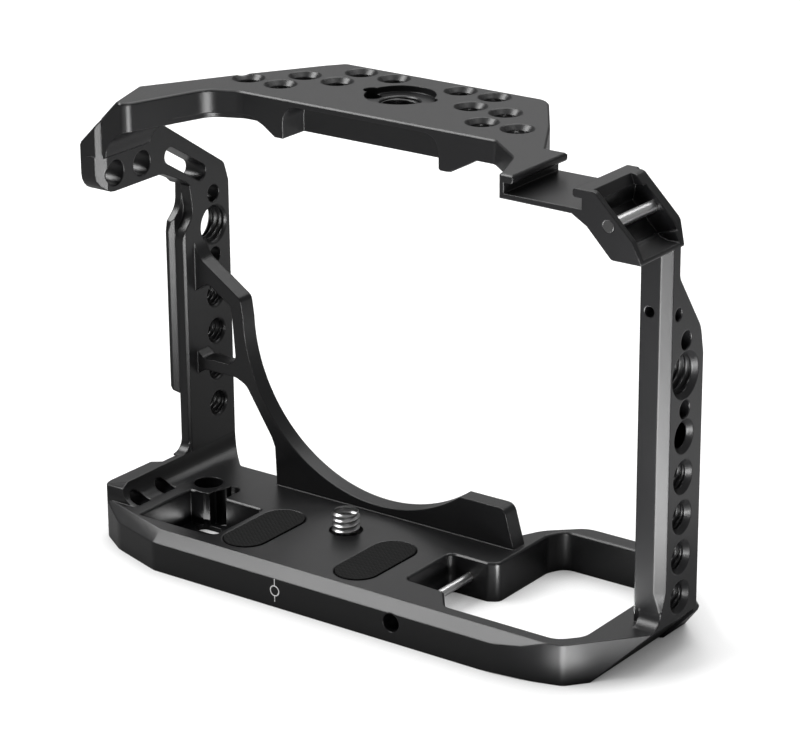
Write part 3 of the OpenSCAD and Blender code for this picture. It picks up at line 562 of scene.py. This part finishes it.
def make_screw():
    """Camera screw: a helical thread with a chamfered end, on its neck and slotted head."""
    low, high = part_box("camera_screw")
    top, head = high.z / MM, low.z / MM
    length = top - BASE_TOP
    bm = bmesh.new()
    helix(bm, SCREW_ROOT, SCREW_OUTSIDE, QUARTER["pitch"], length, steps=64)
    for height in (0, length):
        bmesh.ops.holes_fill(bm, edges=open_edges_at(bm, height), sides=0)
    for vert in bm.verts:
        limit = SCREW_TIP + (length - vert.co.z)
        radius = vert.co.xy.length
        if radius > limit > 0:
            vert.co.xy *= limit / radius
    bmesh.ops.translate(bm, verts=bm.verts, vec=(0, 0, BASE_TOP))
    into_thread = 0.05
    neck_low, neck_high = head + HEAD_HEIGHT, BASE_TOP + into_thread
    bmesh.ops.create_cone(bm, cap_ends=True, segments=48, radius1=NECK_RADIUS,
                          radius2=NECK_RADIUS, depth=neck_high - neck_low,
                          matrix=Matrix.Translation((0, 0, (neck_high + neck_low) / 2)))
    made = bmesh.ops.create_cone(bm, cap_ends=True, segments=64, radius1=HEAD_RADIUS,
                                 radius2=HEAD_RADIUS, depth=HEAD_HEIGHT,
                                 matrix=Matrix.Translation((0, 0, head + HEAD_HEIGHT / 2)))
    rims = {e for v in made["verts"] for e in v.link_edges if len(e.link_faces) == 2
            and e.calc_face_angle() > 1}
    bm.edges.index_update()
    bmesh.ops.bevel(bm, geom=sorted(rims, key=lambda e: e.index), offset=HEAD_BEVEL,
                    offset_type="OFFSET", segments=3, profile=0.5, affect="EDGES", material=-1)
    bmesh.ops.recalc_face_normals(bm, faces=bm.faces)
    bmesh.ops.scale(bm, vec=(MM, MM, MM), verts=bm.verts)
    bmesh.ops.translate(bm, verts=bm.verts, vec=at(0, SCREW_Y, 0))
    screw = piece_from(bm, "threaded_screw", STEEL)
    slot = bmesh.new()
    bmesh.ops.create_cube(slot, size=1, matrix=Matrix.Translation(
        at(0, SCREW_Y, head + COIN_SLOT_UP)) @ Matrix.Diagonal((*(Vector(COIN_SLOT) * MM), 1)))
    combine(screw, piece_from(slot, "coin_slot", STEEL), "DIFFERENCE")
    dress(screw, STEEL)
    smooth(screw, 40)
    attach(screw, SCREW)
    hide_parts("camera_screw")


holes = threaded_holes()
make_billet(holes)
make_threads(holes)
make_screw()

for node, material in (("pad_left", RUBBER), ("pad_right", RUBBER), ("strap_pin", PIN_STEEL),
                       ("battery_pin", BRIGHT), ("screw_washer", NYLON)):
    dress(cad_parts[node], material)


# Floor, light and camera

CAGE_MIDDLE = (14, 31, 50)
FLOOR_HALF = 6.0                             # metres
# The paper seen in the cage's reflections is darker: painted shade in those reflections.
PAPER, PAPER_IN_MIRROR = (0.44, 0.44, 0.44, 1), (0.24, 0.24, 0.24, 1)
GLOW, CONTACT_SHADOW = 0.67, 0.016           # strength, and reach in metres
SKY_LIGHT = 0.2
AZIMUTH, ELEVATION, ROLL = radians(36.153), radians(20.482), radians(0.4253)
CAMERA_PLACE = (391.62, -489.17, 286.91)
FOCAL_PIXELS, FRAME_PIXELS, SENSOR = 3153.0, 800.0, 36.0


def pale_floor():
    """Pale paper that the camera sees as white, with the cage's shadow."""
    f = Finish("pale_floor")
    path = f.node("ShaderNodeLightPath").outputs
    seen = f.math("MAXIMUM", path["Is Camera Ray"], path["Is Transmission Ray"])
    # Painted shade in reflections: glossy rays see the darker paper.
    shade = f.blend(path["Is Glossy Ray"], PAPER, PAPER_IN_MIRROR)
    paper = f.node("ShaderNodeBsdfDiffuse", None, Color=shade)
    open_sky = f.node("ShaderNodeAmbientOcclusion", {"samples": 8}, Distance=CONTACT_SHADOW)
    glow = f.node("ShaderNodeEmission", None, Color=open_sky.outputs["Color"],
                  Strength=seen * GLOW)
    both = f.node("ShaderNodeAddShader", None, i0=paper.outputs[0], i1=glow.outputs[0])
    f.node("ShaderNodeOutputMaterial", None, Surface=both.outputs[0])
    return f.material


def make_floor():
    bm = bmesh.new()
    bmesh.ops.create_grid(bm, x_segments=1, y_segments=1, size=FLOOR_HALF)
    piece_from(bm, "floor", pale_floor())


def make_world():
    """A dim white sky that the camera sees as plain white."""
    world = bpy.data.worlds.new("studio")
    scene.world = world
    world.use_nodes = True
    nodes, links = world.node_tree.nodes, world.node_tree.links
    nodes.clear()
    path, mix = nodes.new("ShaderNodeLightPath"), nodes.new("ShaderNodeMixShader")
    links.new(path.outputs["Is Camera Ray"], mix.inputs[0])
    for place, strength in ((1, SKY_LIGHT), (2, 1.0)):
        sky = nodes.new("ShaderNodeBackground")
        sky.inputs["Color"].default_value = (1, 1, 1, 1)
        sky.inputs["Strength"].default_value = strength
        links.new(sky.outputs[0], mix.inputs[place])
    links.new(mix.outputs[0], nodes.new("ShaderNodeOutputWorld").inputs[0])


def area_lamp(name, width, height, watts):
    lamp = bpy.data.lights.new(name, "AREA")
    lamp.shape, lamp.size, lamp.size_y, lamp.energy = "RECTANGLE", width, height, watts
    made = bpy.data.objects.new(name, lamp)
    scene.collection.objects.link(made)
    return made


def soft_box(name, toward, distance, width, height, watts):
    """A lamp that faces the middle of the cage; sizes in metres."""
    made = area_lamp(name, width, height, watts)
    way = Vector(toward).normalized()
    made.location = at(*CAGE_MIDDLE) + way * distance
    made.rotation_euler = way.to_track_quat("Z", "Y").to_euler()


def floor_card(name, x, y, turn, length, width, watts, z=0.6):
    """A bright card lying on the floor, which upright bevels and rounded corners mirror."""
    made = area_lamp(name, length, width, watts)
    made.location = at(x, y, z)
    made.rotation_euler = (pi, 0, radians(turn))
    made.visible_camera = False


def photo_camera():
    """The camera of the photograph."""
    ahead = Vector((-sin(AZIMUTH) * cos(ELEVATION), cos(AZIMUTH) * cos(ELEVATION),
                    -sin(ELEVATION)))
    right = Vector((cos(AZIMUTH), sin(AZIMUTH), 0))
    down = ahead.cross(right)
    across = cos(ROLL) * right + sin(ROLL) * down
    up = sin(ROLL) * right - cos(ROLL) * down
    view = bpy.data.cameras.new("photo_camera")
    view.sensor_fit, view.sensor_width = "HORIZONTAL", SENSOR
    view.lens = FOCAL_PIXELS / FRAME_PIXELS * SENSOR
    view.clip_start, view.clip_end = 0.01, 50.0
    camera = bpy.data.objects.new("photo_camera", view)
    scene.collection.objects.link(camera)
    turn = Matrix((across, up, -ahead)).transposed().to_4x4()
    camera.matrix_world = Matrix.Translation(at(*CAMERA_PLACE)) @ turn
    return camera


make_floor()
make_world()
soft_box("bevel_light", (-0.55, -0.35, 0.756), 1.2, width=0.85, height=0.45, watts=12.5)
soft_box("overhead", (-0.1, 0.35, 1.0), 1.4, width=1.3, height=1.3, watts=19.5)
soft_box("far_light", (-0.55, 0.72, 0.42), 1.3, width=1.1, height=0.6, watts=0.9)
floor_card("far_card", 255, -193, turn=-43, length=0.44, width=0.16, watts=3.2)
floor_card("near_card", 105, -36, turn=-50, length=0.088, width=0.02, watts=0.065)
floor_card("facet_card", 118, -14, turn=-50, length=0.07, width=0.03, watts=0.024)
floor_card("bay_card", 60, 17, turn=-50, length=0.018, width=0.012, watts=0.03)
floor_card("far_side_card", 90, 215, turn=-43, length=0.3, width=0.16, watts=0.06)
floor_card("pocket_card", -38.5, 21.5, turn=-50, length=0.006, width=0.004, watts=0.0004, z=2.6)
scene.camera = photo_camera()
scene.view_settings.view_transform = "Standard"

bpy.context.view_layer.update()
